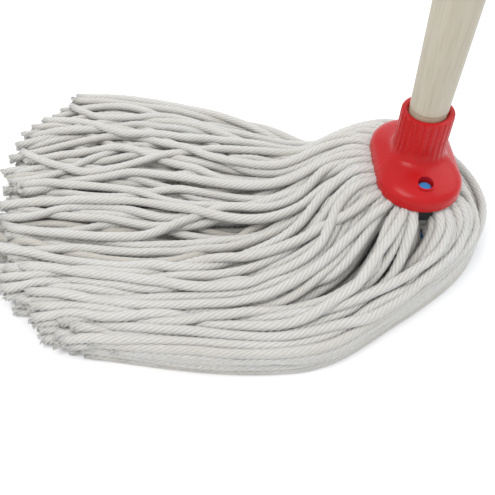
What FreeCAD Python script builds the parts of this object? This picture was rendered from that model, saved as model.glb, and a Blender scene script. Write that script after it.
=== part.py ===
# String mop: a wooden pole pushed into a red moulded socket, which clamps a bundle of cotton yarn.
# Frame: +Z runs up the pole, the origin is on the floor under the pole's axis, -X is the way the yarn
# is swept and Y is the long way of the socket.
import FreeCAD, Part
import math
import os
import Sketcher
from FreeCAD import Placement, Rotation, Vector

doc = FreeCAD.newDocument("StringMop")

# ---------------------------------------------------------------- driving dimensions, millimetres
DIMENSIONS = [
    ("mouth_height", 100.0),      # floor to the collar's mouth
    ("socket_height", 44.0),      # lower edge of the socket's skirt to the mouth
    ("shell_width", 51.0),        # socket across, along X
    ("shell_length", 81.0),       # socket along Y
    ("skirt_height", 5.5),        # upright wall above the rim
    ("crown_height", 17.5),       # rim to the foot of the collar
    ("crown_ledge", 3.5),         # top of the sloping crown, out from the collar's foot
    ("crown_run", 2.0),           # how much longer than wide the crown's top is
    ("collar_lap", 2.0),          # the collar starts this far inside the crown
    ("hollow_lap", 1.0),          # the crown's hollow starts this far inside the skirt
    ("shell_wall", 2.4),
    ("shoulder_radius", 5.5),     # rounding between the skirt and the crown
    ("collar_diameter", 31.0),
    ("collar_foot_radius", 3.0),  # rounding where the collar meets the crown
    ("flute_diameter", 3.4),      # grooves that leave the collar's ribs standing
    ("flute_depth", 0.6),
    ("bore_diameter", 22.0),      # the collar's bore
    ("bore_depth", 38.0),         # how far the pole's spigot goes in
    ("bore_flare", 1.2),          # chamfer at the collar's mouth
    ("spigot_clearance", 0.1),    # radial, between spigot and bore
    ("shoulder_lift", 2.0),       # the pole's turned shoulder stands this far above the mouth
    ("shoulder_step", 0.3),       # radial step at that shoulder
    ("taper_length", 121.0),      # tapered stretch above the shoulder
    ("pole_diameter", 28.0),
    ("pole_length", 1200.0),
    ("pole_end_radius", 8.0),     # rounding of the pole's top edge
    ("tip_chamfer", 1.5),         # lead-in at the pole's lower end
    ("peg_spacing", 56.0),        # between the two clamp pegs, along Y
    ("peg_diameter", 7.6),
    ("peg_hole_diameter", 8.8),   # hole in the crown above each peg
    ("peg_boss_wall", 2.0),       # tube inside the crown that grips the peg
    ("peg_boss_reach", 4.0),      # that tube's top above the skirt
    ("peg_hole_floor", 3.0),      # lower end of the wider hole above the skirt
    ("peg_chamfer", 0.5),
    ("peg_rise", 10.0),           # peg's top above the rim
    ("peg_grip_clearance", 0.05), # radial, between a peg and its tube
    ("clamp_drop", 26.0),         # the skirt's lower edge to the clamp plate's underside
    ("clamp_thickness", 3.0),
    ("clamp_inset", 3.0),         # clamp plate's edge inside the socket's outline
    ("tape_width", 12.0),
    ("tape_thickness", 1.2),
    ("tape_clearance", 1.4),      # tape end to the skirt's end wall
    ("tape_drop", 13.0),          # tape end's length below the top of the yarn
    ("under_inset", 10.0),        # folded strands' edge inside the socket's outline
    ("soft_gap", 0.4),            # between soft pieces and what they lie against
]
FLUTE_COUNT = 24                  # ribs round the collar
PEG_SIDES = (("front", -1), ("back", 1))
GUESSED_RADIUS = 5.0              # a circle's size before its constraint sets it

sheet = doc.addObject("Spreadsheet::Sheet", "Dims")
for row, (alias, value) in enumerate(DIMENSIONS, start=1):
    sheet.set(f"A{row}", alias)
    sheet.set(f"B{row}", str(value))
    sheet.setAlias(f"B{row}", alias)
doc.recompute()


# Heights above the floor of the skirt's lower edge, its rim, and of the clamp plate's underside.
RIM = "(Dims.mouth_height - Dims.socket_height)"
CLAMP = "(Dims.mouth_height - Dims.socket_height - Dims.clamp_drop)"
# Height of the squeezed yarn's top: the pole's seat, less the seat's web, the tape and the gaps round it.
CORE_TOP = ("(Dims.mouth_height - Dims.bore_depth - Dims.shell_wall"
            " - Dims.tape_thickness - 2 * Dims.soft_gap)")
LESS_WALLS = " - 2 * Dims.shell_wall"
CROWN_WIDTH = "Dims.collar_diameter + 2 * Dims.crown_ledge"


def dim(alias):
    """A driving dimension's value, read from the sheet."""
    return float(sheet.get(alias))


RIM_AT = dim("mouth_height") - dim("socket_height")
CLAMP_AT = RIM_AT - dim("clamp_drop")


# ---------------------------------------------------------------- sketch and body helpers
def new_body(label):
    """An empty PartDesign body with the label its file is named after."""
    body = doc.addObject("PartDesign::Body", label)
    body.Label = label
    return body


def origin_plane(body, role):
    return next(f for f in body.Origin.OriginFeatures if f.Role == role)


def new_sketch(body, name, role="XY_Plane", height=None):
    """A sketch on one of the body's origin planes, lifted to a height given as a sheet expression."""
    sketch = body.newObject("Sketcher::SketchObject", name)
    sketch.AttachmentSupport = [(origin_plane(body, role), "")]
    sketch.MapMode = "FlatFace"
    if height:
        sketch.setExpression("AttachmentOffset.Base.z", height)
    return sketch


def bind(sketch, index, name, expression):
    sketch.renameConstraint(index, name)
    sketch.setExpression("Constraints." + name, expression)


def stadium(sketch, width, length, start):
    """An oblong with round ends along Y; width and length are sheet expressions, start their first guess."""
    radius, reach = start[0] / 2, (start[1] - start[0]) / 2
    line = Part.LineSegment
    arc = lambda y, a, b: Part.ArcOfCircle(Part.Circle(Vector(0, y, 0), Vector(0, 0, 1), radius), a, b)
    sketch.addGeometry(arc(-reach, math.pi, 2 * math.pi))
    sketch.addGeometry(line(Vector(radius, -reach, 0), Vector(radius, reach, 0)))
    sketch.addGeometry(arc(reach, 0, math.pi))
    sketch.addGeometry(line(Vector(-radius, reach, 0), Vector(-radius, -reach, 0)))
    for first in range(4):
        sketch.addConstraint(Sketcher.Constraint("Tangent", first, 2, (first + 1) % 4, 1))
    sketch.addConstraint(Sketcher.Constraint("PointOnObject", 0, 3, -2))
    sketch.addConstraint(Sketcher.Constraint("PointOnObject", 2, 3, -2))
    sketch.addConstraint(Sketcher.Constraint("Equal", 0, 2))
    bind(sketch, sketch.addConstraint(Sketcher.Constraint("Radius", 0, radius)),
         "end_radius", f"({width}) / 2")
    bind(sketch, sketch.addConstraint(Sketcher.Constraint("DistanceY", 0, 3, -1, 1, reach)),
         "front_reach", f"(({length}) - ({width})) / 2")
    bind(sketch, sketch.addConstraint(Sketcher.Constraint("DistanceY", -1, 1, 2, 3, reach)),
         "back_reach", f"(({length}) - ({width})) / 2")


def circle(sketch, diameter, x="0", y="0", start=(0.0, 0.0)):
    """A circle; its diameter and centre are sheet expressions, and start is a first guess of the centre."""
    sx, sy = start
    geo = sketch.addGeometry(Part.Circle(Vector(sx, sy, 0), Vector(0, 0, 1), GUESSED_RADIUS))
    size = sketch.addConstraint(Sketcher.Constraint("Diameter", geo, 2 * GUESSED_RADIUS))
    bind(sketch, size, "across", diameter)
    for axis, start_at, expression in (("X", sx, x), ("Y", sy, y)):
        if expression == "0":
            sketch.addConstraint(Sketcher.Constraint("PointOnObject", geo, 3, -2 if axis == "X" else -1))
        else:
            index = sketch.addConstraint(Sketcher.Constraint("Distance" + axis, -1, 1, geo, 3, start_at))
            bind(sketch, index, f"centre_{axis.lower()}", expression)


def peg_place(sign):
    """Where a peg stands: the sheet expression of its y, and a first guess of its centre."""
    return {"y": f"{sign} * Dims.peg_spacing / 2", "start": (0.0, sign * dim("peg_spacing") / 2)}


def pad(body, sketch, name, length, down=False):
    feature = body.newObject("PartDesign::Pad", name)
    feature.Profile = sketch
    feature.setExpression("Length", length)
    feature.Reversed = down
    doc.recompute()
    return feature


def pocket(body, sketch, name, length=None, up=False):
    """Cuts down from the sketch, or up; through all when no length is given."""
    feature = body.newObject("PartDesign::Pocket", name)
    feature.Profile = sketch
    if length is None:
        feature.Type = "ThroughAll"
    else:
        feature.setExpression("Length", length)
    feature.Reversed = up
    doc.recompute()
    return feature


def dress(body, kind, name, size, expression, test):
    """A Fillet or Chamfer on the edges of the body so far that pass the test."""
    base = body.Tip
    edges = [f"Edge{i + 1}" for i, edge in enumerate(base.Shape.Edges) if test(edge)]
    feature = body.newObject("PartDesign::" + kind, name)
    feature.Base = (base, edges)
    feature.setExpression(size, expression)
    doc.recompute()
    return feature


def level_edge(edge, height):
    """True for an edge that lies all in one horizontal plane at that height."""
    return abs(edge.BoundBox.ZMin - height) < 0.01 and abs(edge.BoundBox.ZMax - height) < 0.01


# ---------------------------------------------------------------- pole
def make_pole():
    """Turned wooden pole: spigot, shoulder ring, taper, plain shaft and a rounded top."""
    body = new_body("pole")
    sketch = new_sketch(body, "pole_profile", "XZ_Plane")
    base = dim("mouth_height") - dim("bore_depth")
    mouth = dim("mouth_height")
    spigot = dim("bore_diameter") / 2 - dim("spigot_clearance")
    shoulder = spigot + dim("shoulder_step")
    shaft = dim("pole_diameter") / 2
    top = base + dim("pole_length")
    lift = mouth + dim("shoulder_lift")
    taper_end = lift + dim("taper_length")
    outline = [(0, base), (spigot, base), (spigot, lift), (shoulder, lift), (shaft, taper_end),
               (shaft, top), (0, top)]
    for (x0, z0), (x1, z1) in zip(outline, outline[1:] + outline[:1]):
        sketch.addGeometry(Part.LineSegment(Vector(x0, z0, 0), Vector(x1, z1, 0)))
    count = len(outline)
    for i in range(count):
        sketch.addConstraint(Sketcher.Constraint("Coincident", i, 2, (i + 1) % count, 1))
    for i in (0, 2, 5):
        sketch.addConstraint(Sketcher.Constraint("Horizontal", i))
    for i in (1, 4, 6):
        sketch.addConstraint(Sketcher.Constraint("Vertical", i))
    sketch.addConstraint(Sketcher.Constraint("PointOnObject", 0, 1, -2))
    bound = [
        ("DistanceY", (-1, 1, 0, 1), base, "base", "Dims.mouth_height - Dims.bore_depth"),
        ("DistanceX", (-1, 1, 0, 2), spigot, "spigot_radius",
         "Dims.bore_diameter / 2 - Dims.spigot_clearance"),
        ("DistanceY", (-1, 1, 1, 2), lift, "shoulder_height", "Dims.mouth_height + Dims.shoulder_lift"),
        ("DistanceX", (1, 2, 2, 2), shoulder - spigot, "shoulder_step", "Dims.shoulder_step"),
        ("DistanceY", (2, 2, 3, 2), taper_end - lift, "taper", "Dims.taper_length"),
        ("DistanceX", (-1, 1, 3, 2), shaft, "shaft_radius", "Dims.pole_diameter / 2"),
        ("DistanceY", (0, 1, 5, 2), top - base, "whole_length", "Dims.pole_length"),
    ]
    for kind, places, value, name, expression in bound:
        bind(sketch, sketch.addConstraint(Sketcher.Constraint(kind, *places, value)), name, expression)
    turned = body.newObject("PartDesign::Revolution", "pole_turning")
    turned.Profile = sketch
    turned.ReferenceAxis = (sketch, ["V_Axis"])
    turned.Angle = 360.0
    doc.recompute()
    dress(body, "Fillet", "pole_top_rounding", "Radius", "Dims.pole_end_radius",
          lambda e: level_edge(e, top) and e.Closed)
    dress(body, "Chamfer", "pole_tip_lead_in", "Size", "Dims.tip_chamfer",
          lambda e: level_edge(e, base) and e.Closed)
    return body


# ---------------------------------------------------------------- socket
def make_socket():
    """Red moulding: hollow oblong crown, fluted collar with the pole's bore, and two peg holes."""
    body = new_body("socket_shell")
    outer = (dim("shell_width"), dim("shell_length"))
    crown_width = dim("collar_diameter") + 2 * dim("crown_ledge")
    top = (crown_width, crown_width + dim("crown_run"))
    skirt_outline = new_sketch(body, "skirt_outline", height=RIM)
    stadium(skirt_outline, "Dims.shell_width", "Dims.shell_length", outer)
    pad(body, skirt_outline, "skirt", "Dims.skirt_height")
    lower = new_sketch(body, "crown_lower", height=f"{RIM} + Dims.skirt_height")
    stadium(lower, "Dims.shell_width", "Dims.shell_length", outer)
    upper = new_sketch(body, "crown_upper", height=f"{RIM} + Dims.crown_height")
    stadium(upper, CROWN_WIDTH, CROWN_WIDTH + " + Dims.crown_run", top)
    crown = body.newObject("PartDesign::AdditiveLoft", "crown")
    crown.Profile = lower
    crown.Sections = [upper]
    crown.Ruled = True
    doc.recompute()
    skirt_top = RIM_AT + dim("skirt_height")
    dress(body, "Fillet", "shoulder", "Radius", "Dims.shoulder_radius", lambda e: level_edge(e, skirt_top))

    collar_outline = new_sketch(body, "collar_outline",
                                height=f"{RIM} + Dims.crown_height - Dims.collar_lap")
    circle(collar_outline, "Dims.collar_diameter")
    pad(body, collar_outline, "collar",
        f"Dims.mouth_height - {RIM} - Dims.crown_height + Dims.collar_lap")
    foot_height = RIM_AT + dim("crown_height")
    dress(body, "Fillet", "collar_foot", "Radius", "Dims.collar_foot_radius",
          lambda e: level_edge(e, foot_height) and e.Closed)

    flute_outline = new_sketch(body, "flute_outline", height="Dims.mouth_height")
    reach = "Dims.collar_diameter / 2 + Dims.flute_diameter / 2 - Dims.flute_depth"
    guess = (dim("collar_diameter") + dim("flute_diameter")) / 2 - dim("flute_depth")
    circle(flute_outline, "Dims.flute_diameter", x=reach, start=(guess, 0.0))
    flute = pocket(body, flute_outline, "flute",
                   f"Dims.mouth_height - {RIM} - Dims.crown_height - Dims.collar_foot_radius / 2")
    flutes = body.newObject("PartDesign::PolarPattern", "flutes")
    flutes.Originals = [flute]
    flutes.Axis = (flute_outline, ["N_Axis"])
    flutes.Angle = 360.0
    flutes.Occurrences = FLUTE_COUNT
    body.Tip = flutes
    doc.recompute()

    hollow_lower = new_sketch(body, "hollow_lower",
                              height=f"{RIM} + Dims.skirt_height - Dims.hollow_lap")
    stadium(hollow_lower, "Dims.shell_width" + LESS_WALLS, "Dims.shell_length" + LESS_WALLS, outer)
    hollow_upper = new_sketch(body, "hollow_upper",
                              height=f"{RIM} + Dims.crown_height - Dims.shell_wall")
    stadium(hollow_upper, CROWN_WIDTH + LESS_WALLS, CROWN_WIDTH + " + Dims.crown_run" + LESS_WALLS, top)
    hollow = body.newObject("PartDesign::SubtractiveLoft", "hollow")
    hollow.Profile = hollow_lower
    hollow.Sections = [hollow_upper]
    hollow.Ruled = True
    doc.recompute()
    pocket(body, hollow_lower, "skirt_hollow")
    seat = "Dims.mouth_height - Dims.bore_depth - Dims.shell_wall"
    post_outline = new_sketch(body, "post_outline", height=seat)
    circle(post_outline, "Dims.bore_diameter + 2 * Dims.shell_wall")
    pad(body, post_outline, "post", f"{RIM} + Dims.crown_height - (" + seat + ")")
    for side, sign in PEG_SIDES:
        boss_outline = new_sketch(body, side + "_boss_outline", height=seat)
        circle(boss_outline, "Dims.peg_diameter + 2 * Dims.peg_boss_wall", **peg_place(sign))
        pad(body, boss_outline, side + "_boss",
            f"{RIM} + Dims.skirt_height + Dims.peg_boss_reach - (" + seat + ")")
    bore_outline = new_sketch(body, "bore_outline", height="Dims.mouth_height")
    circle(bore_outline, "Dims.bore_diameter")
    pocket(body, bore_outline, "bore", "Dims.bore_depth")
    for side, sign in PEG_SIDES:
        hole_outline = new_sketch(body, side + "_hole_outline", height="Dims.mouth_height")
        circle(hole_outline, "Dims.peg_hole_diameter", **peg_place(sign))
        pocket(body, hole_outline, side + "_hole",
               f"Dims.mouth_height - {RIM} - Dims.skirt_height - Dims.peg_hole_floor")
        grip_outline = new_sketch(body, side + "_grip_outline", height="Dims.mouth_height")
        circle(grip_outline, "Dims.peg_diameter + 2 * Dims.peg_grip_clearance", **peg_place(sign))
        pocket(body, grip_outline, side + "_grip")
    bore_radius = dim("bore_diameter") / 2
    dress(body, "Chamfer", "bore_flare", "Size", "Dims.bore_flare",
          lambda e: level_edge(e, dim("mouth_height")) and e.Closed
          and abs(e.BoundBox.XMax - bore_radius) < 0.01)
    return body


# ---------------------------------------------------------------- clamp plate, tape and the yarn's core
def core_size():
    """The clamped yarn's width and length inside the skirt, as sheet expressions."""
    margin = " - 2 * Dims.shell_wall - 2 * Dims.soft_gap"
    for_tape = " - 2 * Dims.tape_clearance - 2 * Dims.tape_thickness"
    return "Dims.shell_width" + margin, "Dims.shell_length" + margin + for_tape


def make_clamp():
    """Oblong plate under the yarn, with the two pegs that hold it in the socket."""
    body = new_body("clamp_plate")
    outline = new_sketch(body, "plate_outline", height=CLAMP)
    stadium(outline, "Dims.shell_width - 2 * Dims.clamp_inset", "Dims.shell_length - 2 * Dims.clamp_inset",
            (dim("shell_width"), dim("shell_length")))
    pad(body, outline, "plate", "Dims.clamp_thickness")
    for side, sign in PEG_SIDES:
        peg_outline = new_sketch(body, side + "_peg_outline", height=CLAMP)
        circle(peg_outline, "Dims.peg_diameter", **peg_place(sign))
        pad(body, peg_outline, side + "_peg", f"{RIM} + Dims.peg_rise - {CLAMP}")
    peg_top = RIM_AT + dim("peg_rise")
    dress(body, "Chamfer", "peg_tops", "Size", "Dims.peg_chamfer",
          lambda e: level_edge(e, peg_top) and e.Closed)
    return body


def make_core():
    """The yarn's middle, squeezed flat between the socket and the clamp plate and pierced by the pegs."""
    body = new_body("yarn_core")
    outline = new_sketch(body, "core_outline", height=f"{CLAMP} + Dims.clamp_thickness")
    stadium(outline, *core_size(), (dim("shell_width"), dim("shell_length")))
    pad(body, outline, "core", CORE_TOP + f" - {CLAMP} - Dims.clamp_thickness")
    for side, sign in PEG_SIDES:
        hole = new_sketch(body, side + "_core_hole_outline", height=CORE_TOP)
        circle(hole, "Dims.peg_diameter + 2 * Dims.soft_gap", **peg_place(sign))
        pocket(body, hole, side + "_core_hole")
    return body


def primitive(kind, name, place, **sizes):
    """A Part primitive whose sizes and position (x, y, z) are sheet expressions."""
    solid = doc.addObject("Part::" + kind, name)
    for size, expression in sizes.items():
        solid.setExpression(size, expression)
    for axis, expression in zip("xyz", place):
        solid.setExpression("Placement.Base." + axis, expression)
    return solid


def make_tape():
    """Black band along the yarn's middle, pierced by the pegs, its ends turned down at front and back."""
    length = "(" + core_size()[1] + " + 2 * Dims.soft_gap + 2 * Dims.tape_thickness)"
    top = CORE_TOP + " + Dims.soft_gap + Dims.tape_thickness"
    foot = top + " - Dims.tape_drop"
    outside = primitive("Box", "tape_outside", ("-Dims.tape_width / 2", "-" + length + " / 2", foot),
                        Length="Dims.tape_width", Width=length, Height="Dims.tape_drop")
    inner = length + " / 2 - Dims.tape_thickness"
    hollow_foot = foot + " - Dims.tape_drop - Dims.tape_thickness"
    cutters = [primitive("Box", "tape_inside", ("-Dims.tape_width", "-(" + inner + ")", hollow_foot),
                         Length="2 * Dims.tape_width", Width="2 * (" + inner + ")",
                         Height="2 * Dims.tape_drop")]
    for side, sign in PEG_SIDES:
        cutters.append(primitive("Cylinder", side + "_tape_hole", ("0", peg_place(sign)["y"], foot),
                                 Radius="Dims.peg_diameter / 2 + Dims.soft_gap", Height="2 * Dims.tape_drop"))
    holes = doc.addObject("Part::MultiFuse", "tape_cutters")
    holes.Shapes = cutters
    band = doc.addObject("Part::Cut", "centre_tape")
    band.Base, band.Tool = outside, holes
    band.Label = "centre_tape"
    doc.recompute()
    return band


# ---------------------------------------------------------------- yarn locks
# The cut strands leave the core all round, fall to the floor and are swept towards -X. They stand as locks
# that lie side by side in two layers, with a seam between neighbours. Each row below is one seam, from just
# outside the rim to the cut ends, as (x, y, underside, top). The first seam leaves the back of the socket,
# the seventh its front left, and the last its back right, after going round the right and the front.
SEAMS = [
    [(10, 54, 24, 50), (-4, 61, 9, 42), (-28, 66, 4, 33), (-55, 60, 0, 24), (-92, 92, 0, 19),
     (-138, 114, 0, 17), (-180, 127, 0, 15), (-214, 134, 0, 14), (-253, 142, 0, 12)],
    [(-11, 51, 24, 50), (-28, 53, 9, 42), (-45, 51, 4, 33), (-64, 46, 0, 24), (-101, 70, 0, 20),
     (-148, 89, 0, 18), (-193, 102, 0, 16), (-235, 105, 0, 15), (-277, 98, 0, 13)],
    [(-29, 36, 24, 52), (-45, 36, 9, 47), (-60, 31, 4, 41), (-74, 23, 0, 35), (-110, 31, 0, 27),
     (-154, 46, 0, 22), (-198, 54, 0, 19), (-238, 56, 0, 17), (-286, 55, 0, 14)],
    [(-36, 22, 24, 52), (-51, 20, 9, 47), (-65, 13, 4, 41), (-78, 3, 0, 35), (-107, -3, 0, 28),
     (-144, 4, 0, 24), (-186, 12, 0, 20), (-230, 16, 0, 17), (-284, 16, 0, 14)],
    [(-36, 6, 24, 52), (-50, 3, 9, 47), (-62, -6, 4, 41), (-74, -18, 0, 35), (-99, -29, 0, 29),
     (-133, -30, 0, 25), (-175, -25, 0, 21), (-220, -20, 0, 18), (-276, -20, 0, 14)],
    [(-36, -10, 24, 52), (-47, -16, 9, 47), (-58, -27, 4, 41), (-69, -40, 0, 35), (-93, -51, 0, 30),
     (-128, -55, 0, 26), (-168, -53, 0, 22), (-213, -49, 0, 18), (-270, -42, 0, 14)],
    [(-31, -27, 24, 51), (-41, -36, 9, 46), (-51, -46, 4, 40), (-62, -56, 0, 34), (-87, -67, 0, 29),
     (-121, -71, 0, 25), (-159, -69, 0, 21), (-203, -65, 0, 18), (-262, -57, 0, 14)],
    [(-18, -42, 24, 51), (-28, -51, 9, 46), (-39, -60, 4, 40), (-51, -69, 0, 33), (-78, -79, 0, 27),
     (-111, -83, 0, 23), (-149, -80, 0, 19), (-193, -76, 0, 17), (-254, -67, 0, 13)],
    [(1, -47, 24, 50), (-9, -57, 9, 44), (-22, -66, 4, 38), (-36, -76, 0, 31), (-66, -87, 0, 24),
     (-100, -92, 0, 20), (-138, -89, 0, 17), (-182, -85, 0, 15), (-244, -77, 0, 12)],
    [(20, -41, 22, 48), (11, -54, 8, 40), (-2, -65, 3, 33), (-18, -76, 0, 27), (-52, -92, 0, 21),
     (-87, -100, 0, 17), (-126, -98, 0, 15), (-170, -94, 0, 13), (-233, -86, 0, 11)],
    [(35, -23, 18, 42), (31, -41, 5, 32), (17, -55, 0, 26), (0, -68, 0, 21), (-35, -90, 0, 16),
     (-72, -106, 0, 14), (-112, -107, 0, 12), (-158, -104, 0, 11), (-220, -95, 0, 10)],
    [(44, 20, 14, 40), (54, -8, 4, 30), (38, -40, 0, 22), (14, -62, 0, 17), (-20, -86, 0, 13),
     (-58, -111, 0, 12), (-98, -116, 0, 11), (-146, -113, 0, 10), (-206, -103, 0, 9)],
]
LAYERS = ("lower", "upper")
FIRST_EXIT = math.radians(70)     # where round the core the first seam leaves it
# how far round the core from there each seam leaves it, as shares of the way round
EXIT_SHARES = [0, 0.074, 0.15, 0.21, 0.27, 0.335, 0.405, 0.475, 0.545, 0.618, 0.7, 0.88]
SEAMS_RIM = 56.0                  # the rim's height that the rows' heights belong to
EXIT_STANDOFF = 4.6               # from the core's wall to the locks
SIDE_GAP = 2.0                    # between neighbouring locks
LAYER_GAP = 1.2                   # between the two layers
LEAST_SKEW = 0.4                  # limits the gap's growth where a section crosses a seam at a slant
SIDE_BEVEL, EDGE_BEVEL = 0.16, 0.26   # shares of a lock's width and thickness that its bevelled corners take


def core_exit(distance, radius, reach):
    """Point and outward direction on a stadium, a distance anticlockwise from the +X end of its back arc."""
    arc, side = math.pi * radius, 2 * reach
    distance %= 2 * (arc + side)
    if arc <= distance < arc + side:
        return Vector(-radius, reach - (distance - arc), 0), Vector(-1, 0, 0)
    if distance >= 2 * arc + side:
        return Vector(radius, -reach + (distance - 2 * arc - side), 0), Vector(1, 0, 0)
    at_back = distance < arc
    turn = distance / radius if at_back else math.pi + (distance - arc - side) / radius
    out = Vector(math.cos(turn), math.sin(turn), 0)
    return out * radius + Vector(0, reach if at_back else -reach, 0), out


def whole_seams():
    """Every seam with its start at the core's wall, in the band between the clamp plate and the rim."""
    radius = dim("shell_width") / 2 - dim("shell_wall") - dim("soft_gap")
    ends = dim("shell_wall") + dim("soft_gap") + dim("tape_clearance") + dim("tape_thickness")
    reach = dim("shell_length") / 2 - ends - radius
    around = 2 * math.pi * radius + 4 * reach
    underside = CLAMP_AT + dim("clamp_thickness")
    top = RIM_AT - dim("soft_gap")
    fall = RIM_AT / SEAMS_RIM
    seams = []
    for share, row in zip(EXIT_SHARES, SEAMS):
        wall, out = core_exit(FIRST_EXIT * radius + share * around, radius, reach)
        start = wall + out * EXIT_STANDOFF
        fallen = [(x, y, low * fall, high * fall) for x, y, low, high in row]
        seams.append([(start.x, start.y, underside, top)] + fallen)
    return seams


def inset_from(seam, place, across):
    """How far along the section a lock keeps from this seam, to leave half the side gap square to it."""
    x, y = seam[place][:2]
    x0, y0 = seam[max(0, place - 1)][:2]
    x1, y1 = seam[min(len(seam) - 1, place + 1)][:2]
    along = Vector(x1 - x0, y1 - y0, 0).normalize()
    skew = abs(along.cross(across).z)
    return SIDE_GAP / 2 / max(skew, LEAST_SKEW)


def lock_section(left, right, place, layer):
    """One layer's section between two seams: a ring of points, four-sided with bevelled corners."""
    ends = []
    for x, y, underside, top in (left[place], right[place]):
        half = (top - underside - LAYER_GAP) / 2
        low = underside if layer == "lower" else top - half
        ends.append((Vector(x, y, low), Vector(x, y, low + half)))
    across = ends[1][0] - ends[0][0]
    across.z = 0
    across.normalize()
    from_left = across * inset_from(left, place, across)
    from_right = across * inset_from(right, place, across)
    corners = [ends[0][0] + from_left, ends[1][0] - from_right,
               ends[1][1] - from_right, ends[0][1] + from_left]
    points = []
    for number, corner in enumerate(corners):
        behind, ahead = corners[number - 1], corners[(number + 1) % 4]
        wide_next = number in (0, 2)
        points.append(corner + (behind - corner) * (EDGE_BEVEL if wide_next else SIDE_BEVEL))
        points.append(corner + (ahead - corner) * (SIDE_BEVEL if wide_next else EDGE_BEVEL))
    return points


def flat_face(*points):
    return Part.Face(Part.makePolygon(list(points) + [points[0]]))


def faceted_solid(rings):
    """A closed solid through rings of points, its sides split into triangles."""
    faces = [flat_face(*rings[0]), flat_face(*rings[-1])]
    for ring, following in zip(rings, rings[1:]):
        for number in range(len(ring)):
            a, b = ring[number - 1], ring[number]
            c, d = following[number], following[number - 1]
            faces += [flat_face(a, b, c), flat_face(a, c, d)]
    solid = Part.makeSolid(Part.makeShell(faces))
    if solid.Volume < 0:
        solid.reverse()
    return solid


def make_locks():
    """Two layers of locks, each one body of yarn strands."""
    seams = whole_seams()
    made = []
    for layer in LAYERS:
        for number, (left, right) in enumerate(zip(seams, seams[1:]), start=1):
            name = f"yarn_lock_{layer}_{number:02d}"
            lock = doc.addObject("Part::Feature", name)
            lock.Label = name
            sections = [lock_section(left, right, place, layer) for place in range(len(left))]
            lock.Shape = faceted_solid(sections)
            lock.Placement = Placement(Vector(0, 0, 0), Rotation())
            made.append(lock)
    return made


def make_under():
    """The strands folded flat between the clamp plate and the floor."""
    body = new_body("yarn_under")
    outline = new_sketch(body, "under_outline")
    stadium(outline, "Dims.shell_width - 2 * Dims.under_inset", "Dims.shell_length - 2 * Dims.under_inset",
            (dim("shell_width"), dim("shell_length")))
    pad(body, outline, "under", f"{CLAMP} - Dims.soft_gap")
    return body


pole = make_pole()
parts = [pole, make_socket(), make_clamp(), make_tape(), make_core(), make_under()] + make_locks()
doc.recompute()

for item in doc.Objects:
    if "Invalid" in item.State or "Error" in item.State:
        raise RuntimeError(f"{item.Name} failed: {item.State}")
for part in parts:
    if part.Shape.isNull() or not part.Shape.isValid():
        raise RuntimeError(f"{part.Label} has no valid shape")
os.makedirs("parts", exist_ok=True)
for part in parts:
    part.Shape.exportStep(f"parts/{part.Label}.step")
    print(f"{part.Label:22s} {part.Shape.Volume:12.1f} mm3, {len(part.Shape.Solids)} solid")
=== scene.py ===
# String mop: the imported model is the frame, and these pieces give it its looks.
# Metres; +Z runs up the pole, -X is the way the yarn is swept, and the floor is z = 0.
import math

import bmesh
import bpy
import numpy as np
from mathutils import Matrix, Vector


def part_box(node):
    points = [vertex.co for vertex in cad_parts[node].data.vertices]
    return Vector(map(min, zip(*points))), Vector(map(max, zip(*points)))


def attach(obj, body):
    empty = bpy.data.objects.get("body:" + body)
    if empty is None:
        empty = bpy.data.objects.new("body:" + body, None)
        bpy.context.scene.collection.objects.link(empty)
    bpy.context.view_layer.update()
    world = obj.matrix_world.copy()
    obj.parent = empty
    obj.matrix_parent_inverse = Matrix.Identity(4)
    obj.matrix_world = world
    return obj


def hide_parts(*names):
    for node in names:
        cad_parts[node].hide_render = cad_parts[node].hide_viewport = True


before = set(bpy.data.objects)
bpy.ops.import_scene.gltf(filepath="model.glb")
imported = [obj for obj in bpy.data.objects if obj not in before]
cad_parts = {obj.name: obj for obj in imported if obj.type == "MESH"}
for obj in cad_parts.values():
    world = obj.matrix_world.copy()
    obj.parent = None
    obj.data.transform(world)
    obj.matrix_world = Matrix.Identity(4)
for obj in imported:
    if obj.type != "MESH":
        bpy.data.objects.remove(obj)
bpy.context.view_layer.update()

MM = 0.001
SEED = 41


# ---------------------------------------------------------------- camera, lights and floor
def make_camera():
    data = bpy.data.cameras.new("camera")
    data.sensor_width = 36.0
    data.lens = 43.64
    camera = bpy.data.objects.new("camera", data)
    camera.location = (-0.1047, -0.2883, 0.3086)
    camera.rotation_euler = (math.radians(41.18), 0.0, 0.0)
    bpy.context.collection.objects.link(camera)
    bpy.context.scene.camera = camera


def area_light(name, place, aim, size, watts, colour=(1.0, 1.0, 1.0)):
    """A square soft light at place, turned to face aim."""
    data = bpy.data.lights.new(name, "AREA")
    data.size, data.energy, data.color = size, watts, colour
    light = bpy.data.objects.new(name, data)
    light.location = place
    toward = np.subtract(aim, place)
    light.rotation_euler = (math.atan2(math.hypot(toward[0], toward[1]), -toward[2]), 0.0,
                            math.atan2(toward[1], toward[0]) - math.pi / 2)
    bpy.context.collection.objects.link(light)


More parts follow.
